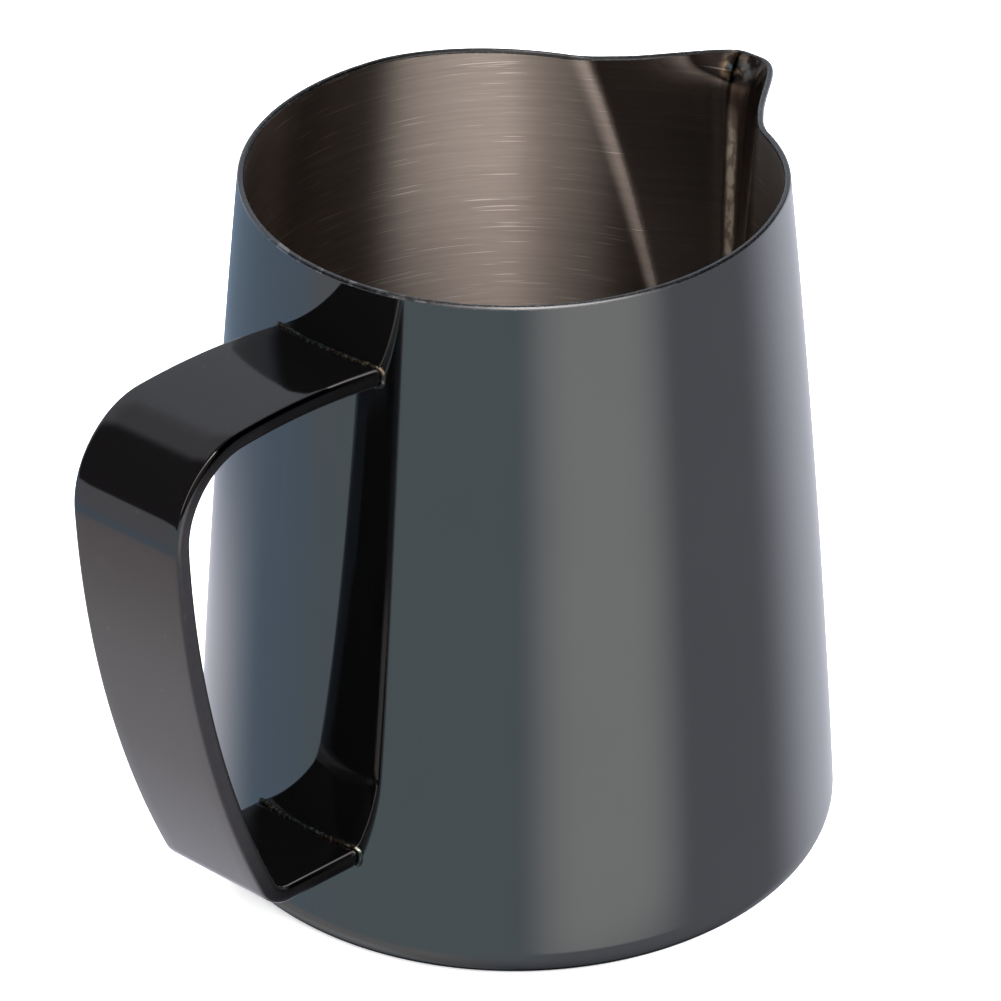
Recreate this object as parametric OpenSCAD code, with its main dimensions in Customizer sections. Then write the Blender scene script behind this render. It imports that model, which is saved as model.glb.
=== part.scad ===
// Milk frothing pitcher: a pressed steel jug with a V spout and a welded strap handle.
// Millimetres. +Z is up, +X points along the spout and -X along the handle.
// The origin is the centre of the base, on the bench.

/* [Body] */
// Outside diameter of the round mouth
mouth_d = 79; // [76:0.5:84]
// Outside diameter where the wall's line meets the bench
base_d = 97.4; // [88:0.2:110]
// Height from the bench to the level part of the rim
body_h = 108.2; // [98:0.5:125]
// Thickness of the steel sheet
wall_t = 1.0; // [0.6:0.1:1.4]
// How far the wall bows out at mid height
wall_bow = 0.6; // [0:0.1:1.5]
// Outside radius of the corner between the base and the wall
corner_r = 3; // [2.5:0.5:6]
// Height of the panel pressed up into the base
panel_lift = 0.8; // [0.3:0.1:1.5]
// Diameter of the pressed panel
panel_d = 68; // [40:1:74]

/* [Spout] */
// Height at which the spout starts to leave the wall
spout_foot = 20; // [15:0.5:40]
// Lean of the spout's centre crease away from vertical, in degrees
spout_lean = 4.0; // [3:0.1:4.8]
// Angle between each flank of the spout and its middle plane, in degrees
flank_angle = 37.2; // [33:0.1:39]
// Half width of the blunt nose of the spout at the rim
nose_half_w = 4.0; // [3.2:0.1:5.5]
// How far the lip curls outward at the nose
lip_curl = 2.5; // [0:0.1:3.5]
// Depth below the rim over which the lip curls
lip_curl_depth = 5; // [4:0.5:12]
// How much lower the rim is at the nose
lip_dip = 4.3; // [0:0.1:6]

/* [Handle] */
// Width of the strap
strap_w = 20; // [16:0.5:22]
// Thickness of the strap
strap_t = 2.8; // [2:0.1:4]
// Height at which the strap's middle line leaves the body
arm_z = 95.1; // [88:0.1:97]
// Rise of the upper arm where it leaves the wall, in degrees
arm_rise = 13; // [6:0.1:15]
// Radius of the upper arm's gentle curve
arm_r = 124.5; // [105:0.5:145]
// Radius of the upper bend
bend_r = 12.3; // [9:0.1:16]
// Radius of the long back of the handle
back_r = 163.7; // [145:0.1:180]
// Lean of the back at its lower end, in degrees from vertical
back_lean = 24.2; // [23:0.1:25.5]
// Radius of the lower bend
foot_bend_r = 5.7; // [4.5:0.1:8]
// Fall of the lower arm towards the wall, in degrees
foot_fall = 7.4; // [6:0.1:11]
// Size of the weld beads
bead = 0.6; // [0.4:0.1:1.2]

/* [Hidden] */

steel = [0.30, 0.32, 0.34];
dark_strap = [0.07, 0.07, 0.08];
weld_tint = [0.42, 0.44, 0.38];

spout_half_angle = 35;   // the columns of the mesh are closer together within this angle
spout_columns = 28;
plain_columns = 50;
columns = spout_columns + plain_columns;
corner_rows = 4;
wall_rows = 12;
lip_rows = 4;
nudge = 0.01;            // step for measuring the slope of the wall
dip_start = mouth_d / 6; // the rim starts to fall towards the spout from here
nose_foot_share = 0.3;   // width of the nose at the spout's foot, against its width at the rim
foot_blend_w = 0.8;      // rounding where the flanks leave the wall, at the foot
rim_blend_w = 1.6;       // and at the rim

// ---- Curves of the body --------------------------------------------------

function lerp(a, b, t) = a + (b - a) * t;
function clamp01(t) = min(1, max(0, t));
function ease(t) = let(c = clamp01(t)) c * c * (3 - 2 * c);
function unit(v) = v / norm(v);

// The larger of two values, with the corner between them rounded over a width w.
function blend_max(a, b, w) = let(k = max(w - abs(a - b), 0) / w) max(a, b) + k * k * w / 4;

// Outside radius of the round part of the wall at height z.
function wall_r(z) = let(t = z / body_h) lerp(base_d, mouth_d, t) / 2 + 4 * wall_bow * t * (1 - t);

// A V with a blunt nose of half width e: zero at y = 0, and a straight rise of slope 1 far out.
function blunt(y, e) = pow(pow(abs(y), 4) + pow(e, 4), 0.25) - e;

// How far up the spout a height is, from 0 at its foot to 1 at the rim.
function up_spout(z) = clamp01((z - spout_foot) / (body_h - spout_foot));
function crease_x(z) = wall_r(spout_foot) + (z - spout_foot) * tan(spout_lean);
function spout_x(y, z) =
    crease_x(z) - blunt(y, nose_half_w * lerp(nose_foot_share, 1, up_spout(z))) / tan(flank_angle);
function blend_w(z) = lerp(foot_blend_w, rim_blend_w, up_spout(z));
// The flanks only shape the front of the wall, as far back as they face it squarely.
function in_front(x, y) = x > abs(y) * tan(flank_angle);
function with_spout(x, y, z) = in_front(x, y) ? blend_max(x, spout_x(y, z), blend_w(z)) : x;

// Height of the rim in the column at angle a: level round the mouth, falling to the nose.
function rim_x(a) = with_spout(mouth_d / 2 * cos(a), mouth_d / 2 * sin(a), body_h);
function rim_z(a) = body_h - wall_t / 2
    - lip_dip * pow(clamp01((rim_x(a) - dip_start) / (crease_x(body_h) - dip_start)), 1.34);

// Outward curl of the lip, strongest at the nose and at the rim.
function curl(y, depth) =
    lip_curl * pow(clamp01(1 - depth / lip_curl_depth), 2)
    * (1 - ease((abs(y) - nose_half_w) / (2.4 * nose_half_w)));

// A point on the outside of the wall, in the column at angle a and at height z.
function wall_point(a, z) =
    let(x = wall_r(z) * cos(a), y = wall_r(z) * sin(a), pushed = with_spout(x, y, z))
    [pushed + (x > 0 ? curl(y, rim_z(a) - z) : 0), y, z];

// The rounded corner under the wall. It ends where it meets the wall's slope.
wall_slope = atan((wall_r(0) - wall_r(corner_r)) / corner_r);
corner_top = corner_r * (1 + sin(wall_slope));
corner_x = wall_r(corner_top) - corner_r * cos(wall_slope);
function corner_point(a, t) =
    let(g = lerp(-90, wall_slope, t), r = corner_x + corner_r * cos(g))
    [r * cos(a), r * sin(a), corner_r + corner_r * sin(g)];

// One path up the outside: q runs from 0 to 1 round the corner and from 1 to 2 up the wall.
function skin(a, q) = q < 1 ? corner_point(a, q) : wall_point(a, lerp(corner_top, rim_z(a), q - 1));
function along(a, q) = q < 2 ? skin(a, q + nudge) - skin(a, q) : skin(a, q) - skin(a, q - nudge);
function around(a, q) = skin(a + nudge, q) - skin(a - nudge, q);
function outward(a, q) = unit(cross(around(a, q), along(a, q)));

// ---- Body shell ----------------------------------------------------------

function column_angle(j) = j < spout_columns
    ? spout_half_angle * (2 * j / spout_columns - 1)
    : spout_half_angle + (360 - 2 * spout_half_angle) * (j - spout_columns) / plain_columns;
function skin_ring(q, depth) =
    [for (j = [0:columns - 1]) let(a = column_angle(j)) skin(a, q) - depth * outward(a, q)];

// The sheet's edge is a half circle from the outside (g = 0) to the inside (g = 180).
function lip_ring(g) = [for (j = [0:columns - 1])
    let(a = column_angle(j), n = outward(a, 2), up = unit(along(a, 2)))
    skin(a, 2) - wall_t / 2 * n + wall_t / 2 * (cos(g) * n + sin(g) * up)];

function row_q(i) = i <= corner_rows
    ? i / corner_rows
    : 2 - pow(1 - (i - corner_rows) / wall_rows, 1.8);

// The drawn and pressed sheet with a flat floor: outside, lip and inside as one closed surface.
module sheet() {
    skin_rows = corner_rows + wall_rows;
    rings = concat(
        [for (i = [0:skin_rows]) skin_ring(row_q(i), 0)],
        [for (i = [1:lip_rows - 1]) lip_ring(180 * i / lip_rows)],
        [for (i = [skin_rows:-1:0]) skin_ring(row_q(i), wall_t)]
    );
    last = len(rings) - 1;
    polyhedron(
        points = [for (ring = rings) each ring],
        faces = concat(
            [[for (j = [0:columns - 1]) j]],
            [for (i = [0:last - 1]) for (j = [0:columns - 1]) let(k = (j + 1) % columns)
                [i * columns + j, (i + 1) * columns + j, (i + 1) * columns + k, i * columns + k]],
            [[for (j = [columns - 1:-1:0]) last * columns + j]]
        ),
        convexity = 6
    );
}

// The shallow round panel pressed up into the floor, with sloping sides.
module panel(overlap) {
    slope_w = 2 * panel_lift;
    cylinder(h = panel_lift, r1 = panel_d / 2, r2 = panel_d / 2 - slope_w, $fn = 96);
    translate([0, 0, -overlap]) cylinder(h = overlap, r = panel_d / 2, $fn = 96);
}

module body_shell() {
    color(steel)
        difference() {
            union() {
                sheet();
                translate([0, 0, wall_t]) panel(wall_t / 2);
            }
            panel(wall_t);
        }
}

// ---- Handle --------------------------------------------------------------

// The strap's middle line is drawn in the (u, z) plane, where u is the distance from the axis.
function heading(h) = [cos(h), sin(h)];
function left_of(h) = [-sin(h), cos(h)];
function turn_end(p, r, h0, h1) = p - r * left_of(h0) + r * left_of(h1);
function turn(p, r, h0, h1, side, n) =
    [for (i = [1:n]) p - r * left_of(h0) + (r + side) * left_of(lerp(h0, h1, i / n))];

back_start_h = -91.3;
back_end_h = -90 - back_lean;
foot_h = -180 + foot_fall;
arm_start = [mouth_d / 2, arm_z];
bend_start = turn_end(arm_start, arm_r, arm_rise, 0);
back_start = turn_end(bend_start, bend_r, 0, back_start_h);
foot_start = turn_end(back_start, back_r, back_start_h, back_end_h);
foot_arm_start = turn_end(foot_start, foot_bend_r, back_end_h, foot_h);
inside_wall = 4;
foot_arm_end = foot_arm_start + (foot_arm_start[0] - base_d / 2 + inside_wall) * heading(foot_h);

// One face of the strap, at a distance side from its middle line.
function strap_face(side) = concat(
    [arm_start - inside_wall * heading(arm_rise) + side * left_of(arm_rise)],
    [arm_start + side * left_of(arm_rise)],
    turn(arm_start, arm_r, arm_rise, 0, side, 6),
    turn(bend_start, bend_r, 0, back_start_h, side, 14),
    turn(back_start, back_r, back_start_h, back_end_h, side, 10),
    turn(foot_start, foot_bend_r, back_end_h, foot_h, side, 8),
    [foot_arm_end + side * left_of(foot_h)]
);
function reversed(list) = [for (i = [len(list) - 1:-1:0]) list[i]];

// Everything inside the outer surface of the wall, for trimming the strap's ends.
module wall_core() {
    steps = 12;
    rotate_extrude($fn = 96)
        polygon(concat(
            [[0, 0]],
            [for (i = [0:steps]) [wall_r(body_h * i / steps), body_h * i / steps]],
            [[0, body_h]]
        ));
}

module handle_strap() {
    color(dark_strap)
        difference() {
            rotate([90, 0, 180])
                translate([0, 0, -strap_w / 2])
                    linear_extrude(strap_w)
                        polygon(concat(strap_face(strap_t / 2), reversed(strap_face(-strap_t / 2))));
            wall_core();
        }
}

// ---- Weld beads ----------------------------------------------------------

// Where a line through p with heading h, moved sideways by y, meets the wall.
function meet_u(p, h, y, u) = let(z = p[1] + (u - p[0]) * tan(h)) sqrt(pow(wall_r(z), 2) - y * y);
function meet(p, h, y) =
    let(u1 = meet_u(p, h, y, mouth_d / 2), u2 = meet_u(p, h, y, u1), u = meet_u(p, h, y, u2))
    [u, p[1] + (u - p[0]) * tan(h)];

// The outline of the strap's end as [y, offset from the middle line, outward y, outward offset].
bead_steps = 10;
function across(i) = strap_w * (i / bead_steps - 0.5);
end_outline = concat(
    [for (i = [0:bead_steps]) [across(i), strap_t / 2, i == 0 ? -1 : i == bead_steps ? 1 : 0, 1]],
    [[strap_w / 2, 0, 1, 0]],
    [for (i = [bead_steps:-1:0]) [across(i), -strap_t / 2, i == 0 ? -1 : i == bead_steps ? 1 : 0, -1]],
    [[-strap_w / 2, 0, -1, 0]]
);

// One cross-section of the bead: corner, foot on the wall, crown, and edge on the strap.
function bead_section(p, h, o) =
    let(
        corner = meet(p + o[1] * left_of(h), h, o[0]),
        foot = meet(p + (o[1] + bead * o[3]) * left_of(h), h, o[0] + bead * o[2]),
        grown = bead * 0.62,
        crown = meet(p + (o[1] + grown * o[3]) * left_of(h), h, o[0] + grown * o[2]) + [grown, 0],
        edge = corner + bead * [1, tan(h)]
    )
    [
        [-corner[0], o[0], corner[1]],
        [-foot[0], o[0] + bead * o[2], foot[1]],
        [-crown[0], o[0] + grown * o[2], crown[1]],
        [-edge[0], o[0], edge[1]]
    ];

// A bead all the way round the end of an arm that leaves the wall at p with heading h.
module weld(p, h) {
    sections = [for (o = end_outline) bead_section(p, h, o)];
    n = len(sections);
    polyhedron(
        points = [for (s = sections) each s],
        faces = [for (i = [0:n - 1]) for (k = [0:3])
            let(next_i = (i + 1) % n, next_k = (k + 1) % 4)
            [4 * i + k, 4 * i + next_k, 4 * next_i + next_k, 4 * next_i + k]],
        convexity = 4
    );
}

module upper_weld() {
    color(weld_tint) weld(arm_start, arm_rise);
}

module lower_weld() {
    color(weld_tint) weld(foot_arm_end, foot_h + 180);
}

body_shell();
handle_strap();
upper_weld();
lower_weld();
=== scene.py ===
"""Looks of the milk frothing pitcher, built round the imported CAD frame.

Everything is in metres in the frame's own axes: +Z up, +X through the spout, -X along the handle.
"""

import math

import bpy
import numpy as np
from mathutils import Matrix, Vector


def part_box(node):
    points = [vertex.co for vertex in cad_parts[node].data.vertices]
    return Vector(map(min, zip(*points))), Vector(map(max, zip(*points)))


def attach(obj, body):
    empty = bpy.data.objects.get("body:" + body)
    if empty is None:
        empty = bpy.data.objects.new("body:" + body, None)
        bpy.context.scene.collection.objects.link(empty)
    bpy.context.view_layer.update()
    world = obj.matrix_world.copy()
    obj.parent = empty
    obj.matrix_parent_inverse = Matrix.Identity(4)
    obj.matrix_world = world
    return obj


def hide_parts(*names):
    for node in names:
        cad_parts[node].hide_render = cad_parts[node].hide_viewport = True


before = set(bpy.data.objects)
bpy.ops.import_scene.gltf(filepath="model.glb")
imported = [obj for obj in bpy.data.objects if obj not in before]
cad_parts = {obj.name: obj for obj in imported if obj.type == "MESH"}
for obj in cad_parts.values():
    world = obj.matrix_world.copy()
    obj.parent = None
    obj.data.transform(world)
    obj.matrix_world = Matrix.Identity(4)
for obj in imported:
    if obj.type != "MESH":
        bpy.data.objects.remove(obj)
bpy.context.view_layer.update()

# ---- Driving dimensions ---------------------------------------------------

BODY_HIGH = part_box("body_shell")[1]
STRAP_LOW, STRAP_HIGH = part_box("handle_strap")
MM = BODY_HIGH.z / 108.15  # one millimetre of the CAD drawing

BODY_H = 108.2 * MM
BASE_R = 48.7 * MM  # where the wall's line meets the bench
MOUTH_R = 39.5 * MM
WALL_BOW = 0.6 * MM
WALL_T = 1.0 * MM
CORNER_R = 3.0 * MM
PANEL_LIFT = 0.8 * MM  # the panel pressed up into the base
PANEL_R = 34.0 * MM
PANEL_SLOPE = 1.1 * PANEL_LIFT  # half the width of the slope round the panel

SPOUT_FOOT = 20.0 * MM
SPOUT_LEAN = math.radians(4.0)
FLANK_ANGLE = math.radians(37.2)
NOSE_HALF_W = 4.0 * MM
NOSE_FOOT_SHARE = 0.3  # the nose is narrower at the foot of the spout
LIP_CURL = 2.5 * MM
LIP_CURL_DEPTH = 5.0 * MM
LIP_DIP = 4.3 * MM
DIP_START = MOUTH_R / 3  # x where the rim starts to fall towards the nose
DIP_POWER = 1.34
BLEND_FOOT = 0.8 * MM  # rounding between wall and spout, at its foot and at the rim
BLEND_RIM = 1.6 * MM

# Mesh attributes that the inside's material reads
BURNISHED_AND_SHADED = "burnished_and_shaded"  # 1 where the spout's die has smoothed the brushing, which is also where the flanks get painted shade
STREAK_MASK = "streak_share"  # 1 along the narrow painted highlight streak down the nose
STREAK_LINE_Z = 75 * MM  # the height at which that line crosses the middle of the nose
STREAK_LINE_TILT = 0.046
STREAK_TOP = 99 * MM
STREAK_FADE = 9 * MM

STRAP_W = STRAP_HIGH.y - STRAP_LOW.y
STRAP_T = 2.8 * MM
STRAP_EDGE_R = 0.95 * MM
INTO_WALL = 0.45 * MM  # how deep the strap's ends sit in the sheet
BEAD = 0.42 * MM  # size of a weld's fillet
BEAD_SINK = 0.35 * MM

# The strap's middle line, in the (u, z) plane with u away from the axis. Headings in degrees.
ARM_START = np.array([MOUTH_R, 95.1 * MM])
ARM_RISE = 13.0
ARM_R = 124.5 * MM
BEND_R = 12.3 * MM
BACK_START_H = -91.3
BACK_R = 163.7 * MM
BACK_END_H = -114.2
FOOT_BEND_R = 5.7 * MM
FOOT_H = -172.6


# ---- Mesh helpers ---------------------------------------------------------


def make_mesh(name, points, faces, materials, face_slots=None, smooth=True):
    """A mesh object with its materials; face_slots says which material each face takes."""
    mesh = bpy.data.meshes.new(name)
    mesh.from_pydata([tuple(p) for p in points], [], faces)
    for material in materials:
        mesh.materials.append(material)
    mesh.polygons.foreach_set("use_smooth", [smooth] * len(mesh.polygons))
    if face_slots is not None:
        mesh.polygons.foreach_set("material_index", face_slots)
    mesh.validate()
    mesh.update()
    obj = bpy.data.objects.new(name, mesh)
    bpy.context.scene.collection.objects.link(obj)
    return obj


def ring_faces(rings, columns, wrap=False):
    """Quads between neighbouring rings of points, each ring closed round its columns."""
    faces = []
    last = rings if wrap else rings - 1
    for i in range(last):
        a = i * columns
        b = (i + 1) % rings * columns
        for j in range(columns):
            k = (j + 1) % columns
            faces.append((a + j, a + k, b + k, b + j))
    return faces


def lerp(a, b, t):
    return a + (b - a) * t


def ease(t):
    c = np.clip(t, 0.0, 1.0)
    return c * c * (3 - 2 * c)


def unit(v):
    return v / np.linalg.norm(v, axis=-1, keepdims=True)


# ---- Body shape: the same curves as the CAD model -------------------------


def wall_r(z):
    """Outside radius of the round wall at height z."""
    t = z / BODY_H
    return lerp(BASE_R, MOUTH_R, t) + 4 * WALL_BOW * t * (1 - t)


def blend_max(a, b, w):
    """The larger of two values, with the corner between them rounded over a width w."""
    k = np.maximum(w - np.abs(a - b), 0) / w
    return np.maximum(a, b) + k * k * w / 4


def blunt(y, e):
    """A V with a blunt nose of half width e."""
    return (np.abs(y) ** 4 + e**4) ** 0.25 - e


def up_spout(z):
    """How far up the spout a height is, 0 at its foot and 1 at the rim."""
    return np.clip((z - SPOUT_FOOT) / (BODY_H - SPOUT_FOOT), 0, 1)


def crease_x(z):
    return wall_r(SPOUT_FOOT) + (z - SPOUT_FOOT) * math.tan(SPOUT_LEAN)


def nose_half_w(z):
    return NOSE_HALF_W * lerp(NOSE_FOOT_SHARE, 1.0, up_spout(z))


def with_spout(x, y, z):
    """x of the wall once the spout is pushed out of it."""
    spout = crease_x(z) - blunt(y, nose_half_w(z)) / math.tan(FLANK_ANGLE)
    pushed = blend_max(x, spout, lerp(BLEND_FOOT, BLEND_RIM, up_spout(z)))
    in_front = x > np.abs(y) * math.tan(FLANK_ANGLE)
    return np.where(in_front, pushed, x)


def rim_z(a):
    """Height of the rim: level round the mouth, falling to the nose."""
    x = with_spout(MOUTH_R * np.cos(a), MOUTH_R * np.sin(a), BODY_H)
    fall = np.clip((x - DIP_START) / (crease_x(BODY_H) - DIP_START), 0, 1)
    return BODY_H - WALL_T / 2 - LIP_DIP * fall**DIP_POWER


def wall_point(a, z):
    x = wall_r(z) * np.cos(a)
    y = wall_r(z) * np.sin(a)
    depth = np.clip(1 - (rim_z(a) - z) / LIP_CURL_DEPTH, 0, None)
    side = 1 - ease((np.abs(y) - NOSE_HALF_W) / (2.4 * NOSE_HALF_W))
    curl = np.where(x > 0, LIP_CURL * np.clip(depth, 0, 1) ** 2 * side, 0)
    return np.stack([with_spout(x, y, z) + curl, y, z + 0 * a], axis=-1)


WALL_SLOPE = math.atan((wall_r(0) - wall_r(CORNER_R)) / CORNER_R)
CORNER_TOP = CORNER_R * (1 + math.sin(WALL_SLOPE))
CORNER_X = wall_r(CORNER_TOP) - CORNER_R * math.cos(WALL_SLOPE)


def skin(a, q):
    """A ring of the outside: q is 0 to 1 round the bottom corner and 1 to 2 up the wall."""
    if q < 1:
        g = lerp(-math.pi / 2, WALL_SLOPE, q)
        r = CORNER_X + CORNER_R * math.cos(g)
        z = CORNER_R + CORNER_R * math.sin(g)
        return np.stack([r * np.cos(a), r * np.sin(a), z + 0 * a], axis=-1)
    return wall_point(a, lerp(CORNER_TOP, rim_z(a), q - 1))


def skin_axes(a, q):
    """The ring, the direction up the sheet and the direction out of it."""
    step = 1e-4
    here = skin(a, q)
    along = skin(a, q + step) - here if q < 2 else here - skin(a, q - step)
    around = skin(a + step, q) - skin(a - step, q)
    return here, unit(along), unit(np.cross(around, along))


SPOUT_HALF_ANGLE = math.radians(36)
SPOUT_COLUMNS = 132
PLAIN_COLUMNS = 216
COLUMNS = SPOUT_COLUMNS + PLAIN_COLUMNS
CORNER_ROWS = 9
WALL_ROWS = 112
LIP_ROWS = 10


def column_angles():
    spout = np.linspace(-SPOUT_HALF_ANGLE, SPOUT_HALF_ANGLE, SPOUT_COLUMNS, endpoint=False)
    plain = np.linspace(
        SPOUT_HALF_ANGLE, 2 * math.pi - SPOUT_HALF_ANGLE, PLAIN_COLUMNS, endpoint=False
    )
    return np.concatenate([spout, plain])


def floor_rings(a, radius, z):
    """Rings of the base from its middle to the corner, with the pressed panel in it."""
    rings = []
    edge = PANEL_R - 0.9 * PANEL_LIFT
    stops = list(np.linspace(0.08, 0.9, 6) * edge)
    stops += list(np.linspace(edge - PANEL_SLOPE, edge + PANEL_SLOPE, 7))
    stops += list(np.linspace(edge + PANEL_SLOPE, radius, 4)[1:-1])
    for r in stops:
        fall = ease((r - edge + PANEL_SLOPE) / (2 * PANEL_SLOPE))
        height = z + PANEL_LIFT * (1 - fall)
        rings.append(np.stack([r * np.cos(a), r * np.sin(a), height + 0 * a], axis=-1))
    return rings


def mark_spout(body):
    """Note on the mesh where the spout's die has smoothed the inside, which also takes painted
    shade, and the painted highlight streak down the nose.
    """
    co = np.empty(len(body.data.vertices) * 3)
    body.data.vertices.foreach_get("co", co)
    x, y, z = co.reshape(-1, 3).T
    pushed_out = np.hypot(x, y) - (wall_r(z) - WALL_T)
    burnished_and_shaded = np.where(x > 0, ease((pushed_out - 0.05 * MM) / (0.95 * MM)), 0.0)
    # Where the painted highlight streak runs down the nose, fading out near the top.
    off_line = np.abs(y - STREAK_LINE_TILT * (z - STREAK_LINE_Z))
    streak_share = burnished_and_shaded * (1 - ease((off_line - 0.35 * MM) / (1.0 * MM)))
    streak_share = streak_share * ease((STREAK_TOP - z) / STREAK_FADE)
    for name, share in ((BURNISHED_AND_SHADED, burnished_and_shaded), (STREAK_MASK, streak_share)):
        body.data.attributes.new(name, "FLOAT", "POINT").data.foreach_set("value", share)


OUTSIDE, LIP, INSIDE, UNDERSIDE = range(4)  # the body's material slots


def build_body(outside, lip, inside, underside):
    """The pressed sheet as one closed surface: base, outside, lip, inside and inner floor."""
    a = column_angles()
    corner_q = [i / CORNER_ROWS for i in range(CORNER_ROWS)]
    wall_q = [2 - (1 - i / WALL_ROWS) ** 1.5 for i in range(WALL_ROWS + 1)]
    sheet = [skin_axes(a, q) for q in corner_q + wall_q]
    rings = floor_rings(a, CORNER_X, 0.0)
    slots = [UNDERSIDE] * len(rings)
    rings += [p for p, along, out in sheet]
    slots += [UNDERSIDE] * 4 + [OUTSIDE] * (len(sheet) - 5)
    rim, up, out = sheet[-1]
    for i in range(1, LIP_ROWS):
        g = math.pi * i / LIP_ROWS
        rings.append(rim - WALL_T / 2 * out + WALL_T / 2 * (math.cos(g) * out + math.sin(g) * up))
    slots += [LIP] * LIP_ROWS
    rings += [p - WALL_T * out for p, along, out in reversed(sheet)]
    slots += [INSIDE] * len(sheet)
    inner_floor = floor_rings(a, CORNER_X, WALL_T)
    rings += inner_floor[::-1]
    slots += [INSIDE] * (len(inner_floor) - 1)
    points = list(np.concatenate(rings))
    faces = ring_faces(len(rings), COLUMNS)
    face_slots = [s for s in slots for _ in range(COLUMNS)]
    face_slots = face_slots[: len(faces)]
    bottom = len(points)
    points.append((0, 0, PANEL_LIFT))
    points.append((0, 0, WALL_T + PANEL_LIFT))
    last = (len(rings) - 1) * COLUMNS
    for j in range(COLUMNS):
        k = (j + 1) % COLUMNS
        faces.append((bottom, k, j))
        face_slots.append(UNDERSIDE)
        faces.append((bottom + 1, last + j, last + k))
        face_slots.append(INSIDE)
    body = make_mesh("pitcher_body", points, faces, [outside, lip, inside, underside], face_slots)
    mark_spout(body)
    return body


# ---- Strap handle ---------------------------------------------------------


def heading(h):
    return np.array([math.cos(math.radians(h)), math.sin(math.radians(h))])


def left_of(h):
    return np.array([-math.sin(math.radians(h)), math.cos(math.radians(h))])


def turn_end(p, r, h0, h1):
    return p - r * left_of(h0) + r * left_of(h1)


BEND_START = turn_end(ARM_START, ARM_R, ARM_RISE, 0)
BACK_START = turn_end(BEND_START, BEND_R, 0, BACK_START_H)
FOOT_START = turn_end(BACK_START, BACK_R, BACK_START_H, BACK_END_H)
FOOT_ARM_START = turn_end(FOOT_START, FOOT_BEND_R, BACK_END_H, FOOT_H)


def wall_hit(p, h, y, sink=0.0):
    """Where the line through p with heading h, moved sideways by y, meets the wall."""
    u = p[0]
    for _ in range(6):
        z = p[1] + (u - p[0]) * math.tan(math.radians(h))
        u = math.sqrt((wall_r(z) - sink) ** 2 - y * y)
    return np.array([u, p[1] + (u - p[0]) * math.tan(math.radians(h))])


def strap_path():
    """The strap's middle line as (point, heading), from the upper weld to the lower one."""
    path = [(ARM_START + heading(ARM_RISE) * d * MM, ARM_RISE) for d in (1.5, 2.4)]

    def arc(p, r, h0, h1, steps):
        for i in range(1, steps + 1):
            h = lerp(h0, h1, i / steps)
            path.append((turn_end(p, r, h0, h), h))

    arc(ARM_START, ARM_R, ARM_RISE, 0, 26)
    path[:] = [s for i, s in enumerate(path) if i < 2 or s[0][0] > path[1][0][0]]
    arc(BEND_START, BEND_R, 0, BACK_START_H, 40)
    arc(BACK_START, BACK_R, BACK_START_H, BACK_END_H, 50)
    arc(FOOT_START, FOOT_BEND_R, BACK_END_H, FOOT_H, 26)
    lower = wall_hit(FOOT_ARM_START, FOOT_H, 0.0)
    for share in (0.25, 0.5, 0.7, 0.85, 0.93):
        path.append((lerp(FOOT_ARM_START, lower, share), FOOT_H))
    return path


def strap_section(half_w, half_t, r):
    """Outline of the strap's section as (y, offset), with rounded edges."""
    outline = []
    for cy, ct, start in ((1, 1, 0), (-1, 1, 90), (-1, -1, 180), (1, -1, 270)):
        for i in range(7):
            g = math.radians(start + 90 * i / 6)
            outline.append(
                (cy * (half_w - r) + r * math.cos(g), ct * (half_t - r) + r * math.sin(g))
            )
        if ct * cy > 0:
            for share in (0.12, 0.3, 0.5, 0.7, 0.88):
                outline.append((cy * (half_w - r) * (1 - 2 * share), ct * half_t))
    return outline


def build_strap(face, edge):
    """The bent strap, lofted along its middle line, with each end cut to the wall's curve."""
    path = strap_path()
    section = strap_section(STRAP_W / 2, STRAP_T / 2, STRAP_EDGE_R)
    rings = []

    def end_ring(p, h):
        ring = []
        for y, t in section:
            hit = wall_hit(p + t * left_of(h), h, y, INTO_WALL)
            ring.append((-hit[0], y, hit[1]))
        return ring

    rings.append(end_ring(ARM_START, ARM_RISE))
    for p, h in path:
        ring = []
        for y, t in section:
            q = p + t * left_of(h)
            ring.append((-q[0], y, q[1]))
        rings.append(ring)
    rings.append(end_ring(FOOT_ARM_START, FOOT_H))
    columns = len(section)
    points = [p for ring in rings for p in ring]
    faces = ring_faces(len(rings), columns)
    faces.append(tuple(range(columns - 1, -1, -1)))
    last = (len(rings) - 1) * columns
    faces.append(tuple(range(last, last + columns)))
    side = [abs(section[j][1]) < STRAP_T / 2 - 0.5 * STRAP_EDGE_R for j in range(columns)]
    slots = [int(side[j] or side[(j + 1) % columns]) for j in range(columns)] * (len(rings) - 1)
    return make_mesh("handle_loop", points, faces, [face, edge], slots + [0, 0])


# ---- Weld beads -----------------------------------------------------------


def bead_outline(half_w, half_t, r, spacing):
    """Points round the strap's end: (y, offset, outward y, outward offset, distance round)."""
    corners = ((1, 1, 0), (-1, 1, 90), (-1, -1, 180), (1, -1, 270))
    raw = []
    for n, (cy, ct, start) in enumerate(corners):
        for i in range(9):
            g = math.radians(start + 90 * i / 8)
            y = cy * (half_w - r) + r * math.cos(g)
            t = ct * (half_t - r) + r * math.sin(g)
            raw.append((y, t, math.cos(g), math.sin(g)))
    raw.append(raw[0])
    raw = np.array(raw)
    steps = np.hypot(np.diff(raw[:, 0]), np.diff(raw[:, 1]))
    distance = np.concatenate([[0], np.cumsum(steps)])
    count = int(distance[-1] / spacing)
    at = np.linspace(0, distance[-1], count, endpoint=False)
    columns = [np.interp(at, distance, raw[:, k]) for k in range(4)]
    return np.stack(columns + [at], axis=-1)


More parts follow.
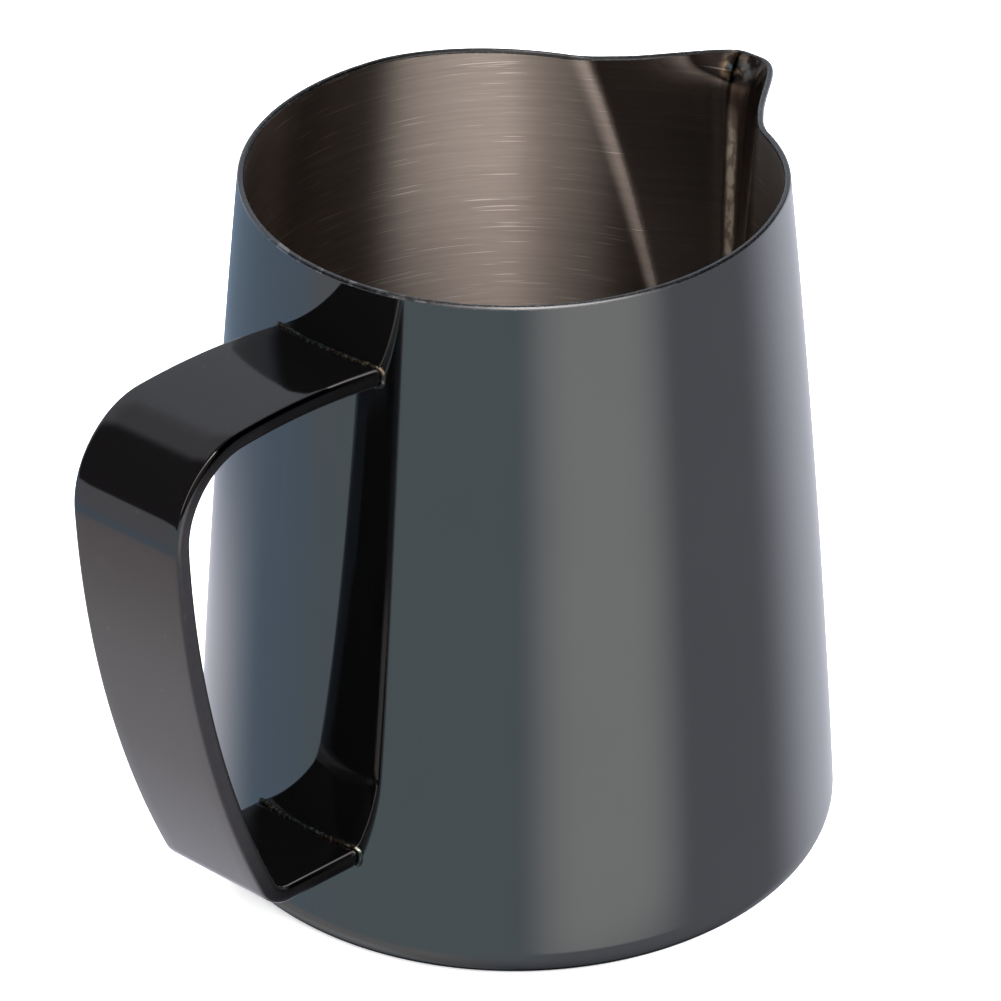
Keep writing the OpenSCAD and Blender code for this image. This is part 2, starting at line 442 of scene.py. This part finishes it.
def build_weld(name, p, h, material, phase):
    """A rippled fillet of weld metal round the end of one arm."""
    outline = bead_outline(STRAP_W / 2, STRAP_T / 2, STRAP_EDGE_R, 0.11 * MM)
    length = outline[-1][4]
    pitch = length / round(length / (1.05 * MM))
    away = h if abs(h) < 90 else h + 180
    ahead = heading(away)
    steps = 8
    rings = []
    for y, t, ny, nt, s in outline:
        wave = (s / pitch + phase) % 1.0
        size = BEAD * (0.94 + 0.1 * (1 - wave) ** 2 + 0.04 * math.sin(7.3 * s / length * math.pi))
        ring = []
        for i in range(steps + 1):
            g = math.pi / 2 * i / steps
            out = size * math.cos(g) ** 1.25
            height = size * math.sin(g) ** 1.25
            hit = wall_hit(p + (t + out * nt) * left_of(away), away, y + out * ny)
            spot = hit + height * ahead
            ring.append((-spot[0], y + out * ny, spot[1]))
        hit = wall_hit(p + (t - BEAD_SINK * nt) * left_of(away), away, y - BEAD_SINK * ny)
        root = hit - BEAD_SINK * ahead
        ring.append((-root[0], y - BEAD_SINK * ny, root[1]))
        rings.append(ring)
    columns = steps + 2
    points = [q for ring in rings for q in ring]
    return make_mesh(name, points, ring_faces(len(rings), columns, wrap=True), [material])


# ---- Materials ------------------------------------------------------------


class Graph:
    """Short-hand for node trees. A value may be a number, a colour or another node's output."""

    def __init__(self, tree):
        self.tree = tree
        tree.nodes.clear()

    def node(self, kind, settings=None, inputs=None):
        made = self.tree.nodes.new(kind)
        for key, value in (settings or {}).items():
            setattr(made, key, value)
        for key, value in (inputs or {}).items():
            self.feed(made.inputs[key], value)
        return made

    def feed(self, socket, value):
        if isinstance(value, bpy.types.NodeSocket):
            self.tree.links.new(value, socket)
        else:
            socket.default_value = value

    def math(self, operation, a, b=0.0, clamp=False):
        settings = {"operation": operation, "use_clamp": clamp}
        return self.node("ShaderNodeMath", settings, {0: a, 1: b}).outputs[0]

    def smooth(self, value, low, high):
        """0 below low, 1 above high and eased between."""
        settings = {"interpolation_type": "SMOOTHSTEP"}
        inputs = {"Value": value, "From Min": low, "From Max": high}
        return self.node("ShaderNodeMapRange", settings, inputs).outputs[0]

    def ramp(self, value, low, high, to_low, to_high):
        inputs = {
            "Value": value,
            "From Min": low,
            "From Max": high,
            "To Min": to_low,
            "To Max": to_high,
        }
        return self.node("ShaderNodeMapRange", {}, inputs).outputs[0]

    def mix(self, factor, a, b):
        made = self.node("ShaderNodeMix", {"data_type": "RGBA"})
        self.feed(made.inputs[0], factor)
        self.feed(made.inputs[6], a)
        self.feed(made.inputs[7], b)
        return made.outputs[2]

    def noise(self, vector, scale, detail=3.0, rough=0.5):
        inputs = {"Vector": vector, "Scale": scale, "Detail": detail, "Roughness": rough}
        return self.node("ShaderNodeTexNoise", {}, inputs).outputs[0]

    def xyz(self, vector):
        split = self.node("ShaderNodeSeparateXYZ", {}, {0: vector})
        return split.outputs[0], split.outputs[1], split.outputs[2]

    def vector(self, x, y, z):
        return self.node("ShaderNodeCombineXYZ", {}, {0: x, 1: y, 2: z}).outputs[0]

    def stretched(self, vector, sx, sy, sz):
        """The vector with its parts scaled, so that a noise made from it runs in lines."""
        x, y, z = self.xyz(vector)
        parts = [self.math("MULTIPLY", v, k) for v, k in ((x, sx), (y, sy), (z, sz))]
        return self.vector(*parts)

    def toward(self, x, y, azimuth):
        """How far a horizontal direction points to an azimuth, in degrees."""
        m = math.radians(azimuth)
        along = self.math("MULTIPLY", x, math.cos(m))
        return self.math("ADD", along, self.math("MULTIPLY", y, math.sin(m)))

    def place(self):
        return self.node("ShaderNodeTexCoord").outputs["Object"]

    def bump(self, height, strength, distance, normal=None):
        inputs = {"Height": height, "Strength": strength, "Distance": distance}
        if normal is not None:
            inputs["Normal"] = normal
        return self.node("ShaderNodeBump", {}, inputs).outputs[0]


def rgb(r, g, b):
    return (r, g, b, 1.0)


WHITE = rgb(1.0, 1.0, 1.0)
BLACK = rgb(0.0, 0.0, 0.0)
NEARLY_METAL = 0.997


def new_material(name):
    material = bpy.data.materials.new(name)
    material.use_nodes = True
    return material, Graph(material.node_tree)


def finish_metal(g, inputs):
    inputs = dict(inputs)
    inputs.setdefault("Metallic", 1.0)
    shader = g.node("ShaderNodeBsdfPrincipled", {}, inputs)
    out = g.node("ShaderNodeOutputMaterial")
    g.tree.links.new(shader.outputs[0], out.inputs[0])
    return shader


SOFTBOX_AZIMUTH = -125
STRAP_SHADE_AZIMUTH = -90  # the strap also sees the softboxes again in the wall beside it


def shade_softbox(g, colour, depth, azimuth=SOFTBOX_AZIMUTH):
    """Darken a colour where its face would mirror the softboxes, which are there for the inside."""
    x, y, z = g.xyz(g.node("ShaderNodeTexCoord").outputs["Reflection"])
    facing = g.smooth(g.toward(x, y, azimuth), 0.0, 0.25)
    seen = g.math("MULTIPLY", g.smooth(z, 0.05, 0.2), facing)
    return g.mix(g.math("MULTIPLY", seen, depth), colour, BLACK)


def polished_steel():
    """Dark vapour-coated steel, mirror polished, a faint haze on it. Painted shade darkens it at the
    bottom corner, most on the handle side.
    """
    material, g = new_material("polished_dark_steel")
    place = g.place()
    haze = g.noise(place, 60.0, 4.0)
    x, y, z = g.xyz(place)
    marks = g.noise(g.stretched(place, 40.0, 40.0, 1600.0), 1.0, 2.0)
    colour = g.mix(haze, rgb(0.267, 0.272, 0.272), rgb(0.287, 0.291, 0.290))
    rough = g.ramp(haze, 0.3, 0.7, 0.03, 0.055)
    normal = g.bump(marks, 0.02, 0.00002)
    # Painted shade: the bottom corner's colour is darkened, more on the handle side, and its grazing
    # reflections are blacked out.
    handle_side = g.smooth(x, -40 * MM, -15 * MM)
    painted_low_shade = g.mix(handle_side, rgb(0.11, 0.12, 0.125), rgb(0.20, 0.203, 0.203))
    colour = g.mix(g.smooth(z, 1.0 * MM, 3.8 * MM), painted_low_shade, colour)
    low_edge_shade = g.mix(g.smooth(z, 0.6 * MM, 3.4 * MM), BLACK, WHITE)
    finish_metal(
        g,
        {
            "Base Color": colour,
            "Roughness": rough,
            "Normal": normal,
            "Metallic": NEARLY_METAL,
            "Specular Tint": low_edge_shade,
        },
    )
    return material


FAR_AZIMUTH = 40.5  # the side of the rim away from the camera


def lip_steel():
    """The ground edge of the sheet, with painted shade where it would mirror the softboxes, deeper
    on its far side, and painted glints above the handle.
    """
    material, g = new_material("ground_lip_steel")
    place = g.place()
    grain = g.noise(place, 900.0, 4.0)
    colour = g.mix(grain, rgb(0.31, 0.31, 0.32), rgb(0.41, 0.41, 0.42))
    x, y, z = g.xyz(place)
    # Painted shade: the lip is darkened where it would mirror the softboxes, more on the far side of
    # the rim.
    far = g.smooth(g.toward(x, y, FAR_AZIMUTH), -12 * MM, 16 * MM)
    colour = shade_softbox(g, colour, g.math("ADD", 0.60, g.math("MULTIPLY", far, 0.34)))
    # Painted highlight: bright glints in noise spots on the lip above the handle.
    above_handle = g.smooth(x, -35.5 * MM, -38.2 * MM)
    painted_glints = g.math("MULTIPLY", g.smooth(g.noise(place, 620.0, 2.0), 0.50, 0.62), above_handle)
    colour = g.mix(painted_glints, colour, rgb(0.85, 0.83, 0.82))
    rough = g.ramp(grain, 0.3, 0.7, 0.20, 0.30)
    normal = g.bump(grain, 0.05, 0.00002)
    finish_metal(g, {"Base Color": colour, "Roughness": rough, "Normal": normal})
    return material


BRUSH_TURN = 0.25
FLANK_LINE_FALL = 0.3  # the brushed lines drop a little along the spout's flanks


def heat_tint(g):
    """How strongly the steel is tinted by heat: a small blotch inside the nose of the spout."""
    middle = tuple(v * MM for v in (54.0, 0.6, 102.3))
    distance = {"operation": "DISTANCE"}
    away = g.node("ShaderNodeVectorMath", distance, {0: g.place(), 1: middle}).outputs["Value"]
    near = g.math("SUBTRACT", 1.0, g.smooth(away, 0.3 * MM, 4.4 * MM))
    broken = g.smooth(g.noise(g.place(), 700.0, 3.0), 0.38, 0.66)
    return g.math("MULTIPLY", g.math("MULTIPLY", near, broken), 0.5)


def painted_streak(g, y, z):
    """How strongly the painted highlight streak down the nose shows, bright and matt: solid, with
    small breaks in it.
    """
    streak_share = g.node("ShaderNodeAttribute", {"attribute_name": STREAK_MASK}).outputs["Fac"]
    across = g.math("MULTIPLY", y, 900.0)
    down = g.math("MULTIPLY", z, 500.0)
    chatter = g.smooth(g.noise(g.vector(0.0, across, down), 1.0, 2.0), 0.35, 0.6)
    return g.math("MULTIPLY", streak_share, g.math("ADD", 0.55, g.math("MULTIPLY", chatter, 0.45)))


def inside_tone(g, coarse, scratch, burnished_and_shaded, heat, streak_highlight):
    """Colour of the brushed steel, from its grain, its scratches, its heat tint, painted shade on
    the spout's flanks and a painted highlight streak down the nose.
    """
    plain = g.mix(coarse, rgb(0.35, 0.295, 0.262), rgb(0.49, 0.425, 0.385))
    # Painted shade: the smoothed flanks take a darker tone and are darkened further where they would
    # mirror the softboxes, standing in for the dark they sit in.
    smoothed = g.mix(coarse, rgb(0.19, 0.150, 0.130), rgb(0.25, 0.200, 0.175))
    tone = g.mix(burnished_and_shaded, plain, smoothed)
    tone = shade_softbox(g, tone, g.math("MULTIPLY", burnished_and_shaded, 0.96))
    patch = g.smooth(g.noise(g.place(), 520.0, 2.0), 0.44, 0.56)
    tints = g.mix(patch, rgb(0.17, 0.26, 0.29), rgb(0.50, 0.33, 0.20))
    tone = g.mix(heat, tone, tints)
    # Painted highlight: a bright streak down the spout's nose.
    tone = g.mix(streak_highlight, tone, rgb(0.54, 0.44, 0.34))
    return g.mix(scratch, tone, rgb(0.90, 0.83, 0.77))


def inside_metallic(g, z, burnished_and_shaded, heat, streak_highlight):
    """A little less than metal where the marks scatter light."""
    deep = g.math("SUBTRACT", 1.0, g.smooth(z, 60 * MM, 102 * MM))
    smoothed = g.math("ADD", 0.01, g.math("MULTIPLY", deep, 0.09))
    dull = g.math("MULTIPLY", burnished_and_shaded, smoothed)
    dull = g.math("MAXIMUM", dull, g.math("MULTIPLY", heat, 0.4))
    dull = g.math("MAXIMUM", dull, g.math("MULTIPLY", streak_highlight, 0.45))
    return g.math("SUBTRACT", 1.0, dull)


def brushed_steel():
    """Inside of the cup: warm coated steel brushed round and round, with brighter scratches."""
    material, g = new_material("brushed_inner_steel")
    x, y, z = g.xyz(g.place())
    radius = g.math("SQRT", g.math("ADD", g.math("MULTIPLY", x, x), g.math("MULTIPLY", y, y)))
    across = g.math("ADD", z, g.math("MULTIPLY", radius, FLANK_LINE_FALL))
    grain_place = g.vector(x, y, across)
    burnished_and_shaded = g.node("ShaderNodeAttribute", {"attribute_name": BURNISHED_AND_SHADED}).outputs["Fac"]
    fine = g.noise(g.stretched(grain_place, 55.0, 55.0, 9000.0), 1.0, 2.0)
    coarse = g.noise(g.stretched(grain_place, 30.0, 30.0, 1800.0), 1.0, 3.0)
    scratch = g.smooth(g.noise(g.stretched(grain_place, 90.0, 90.0, 5200.0), 1.0, 1.0), 0.66, 0.76)
    fewer = g.math("SUBTRACT", 0.8, g.math("MULTIPLY", burnished_and_shaded, 0.72))
    scratch = g.math("MULTIPLY", scratch, fewer)
    heat = heat_tint(g)
    streak_highlight = painted_streak(g, y, z)
    colour = inside_tone(g, coarse, scratch, burnished_and_shaded, heat, streak_highlight)
    metallic = inside_metallic(g, z, burnished_and_shaded, heat, streak_highlight)
    rough = g.ramp(fine, 0.3, 0.7, 0.40, 0.50)
    smoother = g.math("SUBTRACT", 1.0, g.math("MULTIPLY", burnished_and_shaded, 0.68))
    rough = g.math("MULTIPLY", rough, smoother)
    normal = g.bump(fine, 0.25, 0.00004)
    tangent = g.node("ShaderNodeTangent", {"direction_type": "RADIAL", "axis": "Z"}).outputs[0]
    finish_metal(
        g,
        {
            "Base Color": colour,
            "Metallic": metallic,
            "Roughness": rough,
            "Normal": normal,
            "Anisotropic": 1.0,
            "Anisotropic Rotation": BRUSH_TURN,
            "Tangent": tangent,
        },
    )
    return material


def underside_steel():
    material, g = new_material("underside_steel")
    place = g.place()
    haze = g.noise(place, 400.0, 4.0)
    colour = g.mix(haze, rgb(0.22, 0.23, 0.24), rgb(0.30, 0.31, 0.32))
    rough = g.ramp(haze, 0.3, 0.7, 0.12, 0.26)
    normal = g.bump(haze, 0.05, 0.00003)
    finish_metal(g, {"Base Color": colour, "Roughness": rough, "Normal": normal})
    return material


def strap_steel():
    """The strap: a glossy dark coating with fine lines across it and tiny specks of wear, and
    painted shade where it would mirror the softboxes.
    """
    material, g = new_material("glossy_strap_steel")
    place = g.place()
    haze = g.noise(place, 90.0, 4.0)
    speck = g.smooth(g.noise(place, 2600.0, 0.0), 0.80, 0.86)
    lines = g.noise(g.stretched(place, 1500.0, 25.0, 1500.0), 1.0, 3.0)
    tone = g.mix(haze, rgb(0.213, 0.200, 0.204), rgb(0.240, 0.226, 0.230))
    tone = g.mix(lines, tone, rgb(0.236, 0.224, 0.228))
    colour = g.mix(g.math("MULTIPLY", speck, 0.4), tone, rgb(0.6, 0.6, 0.6))
    # Painted shade: darkened where the face would mirror the softboxes, directly or through the wall
    # beside it.
    colour = shade_softbox(g, colour, 0.985, STRAP_SHADE_AZIMUTH)
    rough = g.ramp(haze, 0.3, 0.7, 0.06, 0.10)
    normal = g.bump(lines, 0.03, 0.00003, g.bump(haze, 0.02, 0.0001))
    finish_metal(
        g,
        {
            "Base Color": colour,
            "Roughness": rough,
            "Normal": normal,
            "Metallic": NEARLY_METAL,
        },
    )
    return material


def strap_edge_steel():
    """The strap's rolled edges: the same coating, a little duller, with painted shade along both
    arms and where they would mirror the softboxes.
    """
    material, g = new_material("satin_strap_edge")
    place = g.place()
    x, y, z = g.xyz(place)
    haze = g.noise(place, 700.0, 4.0)
    # Painted shade: the edges of both arms are darkened nearly to black, where the body hides their
    # reflections.
    upper_arm = g.smooth(z, 88 * MM, 101 * MM)
    lower_arm = g.smooth(x, -74 * MM, -62 * MM)
    arm_shade = g.math("MULTIPLY", g.math("MAXIMUM", upper_arm, lower_arm), 0.92)
    tone = g.mix(haze, rgb(0.195, 0.182, 0.184), rgb(0.235, 0.221, 0.223))
    tone = g.mix(arm_shade, tone, rgb(0.02, 0.02, 0.02))
    colour = shade_softbox(g, tone, 0.98, STRAP_SHADE_AZIMUTH)
    rough = g.ramp(haze, 0.3, 0.7, 0.18, 0.28)
    normal = g.bump(haze, 0.03, 0.00003)
    finish_metal(g, {"Base Color": colour, "Roughness": rough, "Normal": normal})
    return material


def weld_steel():
    """Weld metal with the straw and blue tints that heat leaves, and painted glints: dark but for
    small bright spots.
    """
    material, g = new_material("tinted_weld_steel")
    place = g.place()
    patch = g.noise(place, 220.0, 2.0)
    grain = g.noise(place, 4000.0, 3.0)
    glint = g.smooth(g.noise(place, 1900.0, 1.0), 0.52, 0.66)
    cool = g.mix(g.smooth(patch, 0.42, 0.58), rgb(0.26, 0.33, 0.30), rgb(0.38, 0.33, 0.26))
    colour = g.mix(g.smooth(patch, 0.6, 0.7), cool, rgb(0.55, 0.32, 0.20))
    # Painted highlight: the weld is darkened except in small glint spots.
    colour = g.mix(glint, g.mix(0.75, colour, BLACK), colour)
    rough = g.ramp(grain, 0.3, 0.7, 0.20, 0.38)
    normal = g.bump(grain, 0.1, 0.00003)
    finish_metal(g, {"Base Color": colour, "Roughness": rough, "Normal": normal})
    return material


# ---- Studio ---------------------------------------------------------------

TABLE_TONE = rgb(0.215, 0.222, 0.25)
SKY_TONE = rgb(0.03, 0.03, 0.032)
SIDE_CARD_TONE = rgb(0.20, 0.27, 0.36)
CARD_MIDDLE = Vector((-9, 141, 0)) * MM
CARD_HALF_W = 131 * MM
CARD_HEADING = 80
CARD_LOW = -60 * MM
CARD_HIGH = 80 * MM
CARD_FADE_LOW = -42 * MM  # clear below this height, solid above the next
CARD_FADE_HIGH = 28 * MM

# Soft cards that the steel mirrors. Azimuth is measured from the spout towards +Y, in degrees:
# (middle, half width, softness, lowest elevation, highest elevation, softness, colour)
CARDS = (
    (139, 60, 15, -90, 0, 3, rgb(0.265, 0.240, 0.245)),
    (185, 40, 14, -34, 30, 3, rgb(0.21, 0.262, 0.285)),
    (134, 14, 10, -33, -23, 2, rgb(0.205, 0.26, 0.30)),
    (110, 20, 14, -34, 30, 3, rgb(0.20, 0.27, 0.36)),
    (139, 60, 15, -90, -33, 2, rgb(0.315, 0.300, 0.303)),
    (115, 55, 15, -90, -41, 8, rgb(0.475, 0.478, 0.492)),
    (98, 24, 12, -75, -57, 6, rgb(0.555, 0.560, 0.60)),
    (-106.5, 18.5, 15, -30.4, 30, 1.0, rgb(0.53, 0.53, 0.53)),
    (37, 55.5, 23, -56, 3, 6, rgb(0.72, 0.735, 0.83)),
    (60, 50, 15, 4, 62, 5, rgb(0.225, 0.245, 0.265)),
    (80, 45, 15, 48, 62, 5, rgb(0.150, 0.152, 0.160)),
    (150, 41, 8, -2.5, 62, 1.0, rgb(0.028, 0.027, 0.029)),
    (-148, 24, 14, 16, 90, 5, rgb(1.6, 1.5, 1.44)),
    (-114, 27, 3, 16, 90, 5, rgb(3.85, 3.7, 3.6)),
    (-134, 13, 8, 42, 90, 10, rgb(5.0, 4.8, 4.7)),
    (-90, 8, 5, 42, 90, 10, rgb(1.6, 1.55, 1.5)),
)


def degrees_sin(angle):
    return math.sin(math.radians(angle))


def degrees_cos(angle):
    return math.cos(math.radians(angle))


def card_mask(g, ux, uy, z, card):
    """1 in the directions where a card is seen, with soft edges."""
    middle, half, soft, low, high, soft_el, tone = card
    outer = degrees_cos(half + soft)
    inner = degrees_cos(max(half - soft, 0))
    mask = g.smooth(g.toward(ux, uy, middle), outer, inner)
    if low > -90:
        above = g.smooth(z, degrees_sin(low - soft_el), degrees_sin(low + soft_el))
        mask = g.math("MULTIPLY", mask, above)
    if high < 90:
        over = g.smooth(z, degrees_sin(high - soft_el), degrees_sin(high + soft_el))
        mask = g.math("MULTIPLY", mask, g.math("SUBTRACT", 1.0, over))
    return mask


def build_studio():
    """The world: white to the camera, and soft cards in the steel's reflections."""
    world = bpy.data.worlds.new("studio")
    bpy.context.scene.world = world
    world.use_nodes = True
    world.cycles.sampling_method = "NONE"
    g = Graph(world.node_tree)
    x, y, z = g.xyz(g.node("ShaderNodeTexCoord").outputs["Generated"])
    flat = g.math("SQRT", g.math("ADD", g.math("MULTIPLY", x, x), g.math("MULTIPLY", y, y)))
    flat = g.math("MAXIMUM", flat, 1e-4)
    ux = g.math("DIVIDE", x, flat)
    uy = g.math("DIVIDE", y, flat)
    horizon = g.smooth(z, degrees_sin(-4), degrees_sin(2))
    colour = g.mix(horizon, TABLE_TONE, SKY_TONE)
    for card in CARDS:
        colour = g.mix(card_mask(g, ux, uy, z, card), colour, card[-1])
    path = g.node("ShaderNodeLightPath")
    seen = g.mix(path.outputs["Is Glossy Ray"], WHITE, colour)
    background = g.node("ShaderNodeBackground", {}, {"Color": seen, "Strength": 1.0})
    out = g.node("ShaderNodeOutputWorld")
    g.tree.links.new(background.outputs[0], out.inputs[0])


FLOOR_HALF = 0.9
FLOOR_DROP = 0.0001  # keeps the floor just clear of the base
FLOOR_GLOW = 0.4  # a lit table: almost no shadow shows on it


def build_floor():
    """A plain pale floor under the pitcher."""
    half = FLOOR_HALF
    material, g = new_material("pale_floor")
    grain = g.noise(g.place(), 300.0, 3.0)
    colour = g.mix(grain, rgb(0.955, 0.955, 0.955), rgb(0.985, 0.985, 0.985))
    finish_metal(
        g,
        {
            "Base Color": colour,
            "Metallic": 0.0,
            "Roughness": 0.9,
            "Specular IOR Level": 0.0,
            "Emission Color": WHITE,
            "Emission Strength": FLOOR_GLOW,
        },
    )
    points = [(-half, -half, 0), (half, -half, 0), (half, half, 0), (-half, half, 0)]
    floor = make_mesh("floor", points, [(0, 1, 2, 3)], [material], smooth=False)
    floor.location.z = -FLOOR_DROP
    floor.visible_glossy = False


def build_side_card():
    """A blue-grey card behind the handle's side. The upper wall mirrors it instead of the glow."""
    turn = math.radians(CARD_HEADING)
    side = Vector((-math.sin(turn), math.cos(turn), 0)) * CARD_HALF_W
    low = Vector((0, 0, CARD_LOW))
    high = Vector((0, 0, CARD_HIGH))
    left = CARD_MIDDLE - side
    right = CARD_MIDDLE + side
    corners = [left + low, right + low, right + high, left + high]
    material, g = new_material("side_card")
    x, y, z = g.xyz(g.place())
    there = g.smooth(z, CARD_FADE_LOW, CARD_FADE_HIGH)
    glow = g.node("ShaderNodeEmission", {}, {"Color": SIDE_CARD_TONE, "Strength": 1.0})
    clear = g.node("ShaderNodeBsdfTransparent")
    both = g.node("ShaderNodeMixShader", {}, {0: there, 1: clear.outputs[0], 2: glow.outputs[0]})
    g.feed(g.node("ShaderNodeOutputMaterial").inputs[0], both.outputs[0])
    card = make_mesh("side_card", corners, [(0, 1, 2, 3)], [material], smooth=False)
    card.visible_camera = False
    card.visible_diffuse = False
    card.visible_shadow = False


TARGET = Vector((0, 0, BODY_H / 2))
LAMP_SIZE = 0.8
LAMPS = (
    ("key_light", (-0.5, -0.7, 1.0), 24.0),
    ("fill_light", (0.6, 0.5, 0.9), 14.0),
    ("low_light", (0.5, -0.8, 0.7), 10.0),
)


def soft_light(name, place, watts):
    """An area light aimed at the pitcher, unseen in its reflections."""
    lamp = bpy.data.lights.new(name, "AREA")
    lamp.shape = "DISK"
    lamp.size = LAMP_SIZE
    lamp.energy = watts
    holder = bpy.data.objects.new(name, lamp)
    holder.location = place
    holder.rotation_euler = (TARGET - Vector(place)).to_track_quat("-Z", "Y").to_euler()
    holder.visible_glossy = False
    bpy.context.scene.collection.objects.link(holder)


# ---- Camera ---------------------------------------------------------------

CAMERA_AZIMUTH = -49.38
CAMERA_ELEVATION = 32.22
CAMERA_DISTANCE = 0.79
CAMERA_ROLL = 0.23
CAMERA_LENS = 191.8
CAMERA_SHIFT = (-0.0146, -0.0120)


def build_camera():
    """The reference view, looking down into the pitcher from its handle side."""
    data = bpy.data.cameras.new("camera")
    data.sensor_width = 36.0
    data.lens = CAMERA_LENS
    data.shift_x, data.shift_y = CAMERA_SHIFT
    camera = bpy.data.objects.new("camera", data)
    a = math.radians(CAMERA_AZIMUTH)
    e = math.radians(CAMERA_ELEVATION)
    back = Vector((math.sin(a) * math.cos(e), -math.cos(a) * math.cos(e), math.sin(e)))
    turn = (-back).to_track_quat("-Z", "Y").to_matrix().to_4x4()
    roll = Matrix.Rotation(math.radians(-CAMERA_ROLL), 4, "Z")
    camera.matrix_world = Matrix.Translation(TARGET + CAMERA_DISTANCE * back) @ turn @ roll
    bpy.context.scene.collection.objects.link(camera)
    bpy.context.scene.camera = camera


# ---- Assembly -------------------------------------------------------------


def install(piece, node):
    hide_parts(node)
    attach(piece, "root")


body = build_body(polished_steel(), lip_steel(), brushed_steel(), underside_steel())
install(body, "body_shell")
strap = build_strap(strap_steel(), strap_edge_steel())
install(strap, "handle_strap")
weld = weld_steel()
upper = build_weld("upper_weld_bead", ARM_START, ARM_RISE, weld, 0.0)
install(upper, "upper_weld")
lower = build_weld("lower_weld_bead", FOOT_ARM_START, FOOT_H, weld, 0.4)
install(lower, "lower_weld")

build_studio()
build_floor()
build_side_card()
for name, place, watts in LAMPS:
    soft_light(name, place, watts)
build_camera()
bpy.context.scene.view_settings.view_transform = "Standard"
